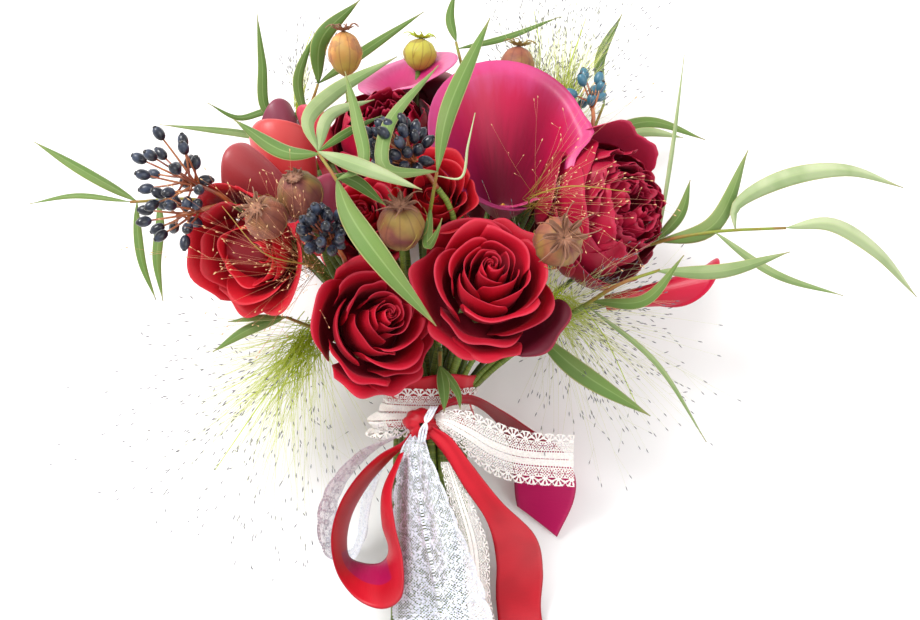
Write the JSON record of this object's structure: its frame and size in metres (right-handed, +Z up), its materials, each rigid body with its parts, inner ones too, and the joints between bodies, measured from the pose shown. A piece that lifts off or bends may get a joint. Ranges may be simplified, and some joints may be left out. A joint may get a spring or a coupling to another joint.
{
  "type": "bridal bouquet",
  "caption": "Hand-tied bridal bouquet with satin and lace ribbons, lying on its back: red roses, peonies and callas with pods, berries, leaves and grass.",
  "frame": {"origin": "middle of the bounding box's bottom, on the surface that the bouquet lies on", "axes": "+Y from the cut stems towards the head, +Z up off the surface (the side that faces the viewer), +X to the viewer's right"},
  "size_m": [0.4864, 0.4534, 0.1894],
  "materials": {
    "rose_petal": "soft velvety red petal",
    "peony_petal": "ruffled wine-red petal",
    "calla_spathe": "smooth waxy magenta spathe",
    "seed_pod": "dry papery balloon",
    "berry": "glossy slate-blue skin",
    "leaf": "matt green leaf",
    "grass": "dry straw",
    "stem": "green cut stem",
    "red_satin": "double-faced satin",
    "cotton_lace": "matt cotton lace",
    "silver_lace": "thin lace with a silver thread"
  },
  "bodies": {
    "root": {"berries_centre": "berry", "berries_centre_left": "berry", "berries_left": "berry", "berries_right": "berry", "calla_big": "calla_spathe", "calla_left_far": "calla_spathe", "calla_left_high": "calla_spathe", "calla_left_low": "calla_spathe", "calla_left_mid": "calla_spathe", "calla_left_tip": "calla_spathe", "calla_side": "calla_spathe", "calla_top": "calla_spathe", "cotton_end": "cotton_lace", "cotton_tail": "cotton_lace", "grass_centre": "grass", "grass_left": "grass", "grass_low_left": "grass", "grass_low_right": "grass", "grass_top": "grass", "grass_top_left": "grass", "grass_top_right": "grass", "lace_band": "cotton_lace", "leaves_back": "leaf", "leaves_binding": "leaf", "leaves_bottom_right": "leaf", "leaves_centre": "leaf", "leaves_front": "leaf", "leaves_left": "leaf", "leaves_low_left": "leaf", "leaves_low_right": "leaf", "leaves_peony": "leaf", "leaves_right": "leaf", "leaves_top": "leaf", "leaves_top_left": "leaf", "peony_back": "peony_petal", "peony_centre": "peony_petal", "peony_right": "peony_petal", "pod_back": "seed_pod", "pod_centre": "seed_pod", "pod_left": "seed_pod", "pod_left_high": "seed_pod", "pod_right": "seed_pod", "pod_top": "seed_pod", "pod_top_left": "seed_pod", "pod_top_right": "seed_pod", "rose_back_left": "rose_petal", "rose_back_right": "rose_petal", "rose_centre": "rose_petal", "rose_front_left": "rose_petal", "rose_front_right": "rose_petal", "rose_left": "rose_petal", "rose_middle": "rose_petal", "satin_band": "red_satin", "satin_end": "red_satin", "satin_knot": "red_satin", "satin_loop": "red_satin", "satin_tail": "red_satin", "silver_loop": "silver_lace", "silver_tail": "silver_lace", "stems": "stem"}
  },
  "joints": []
}
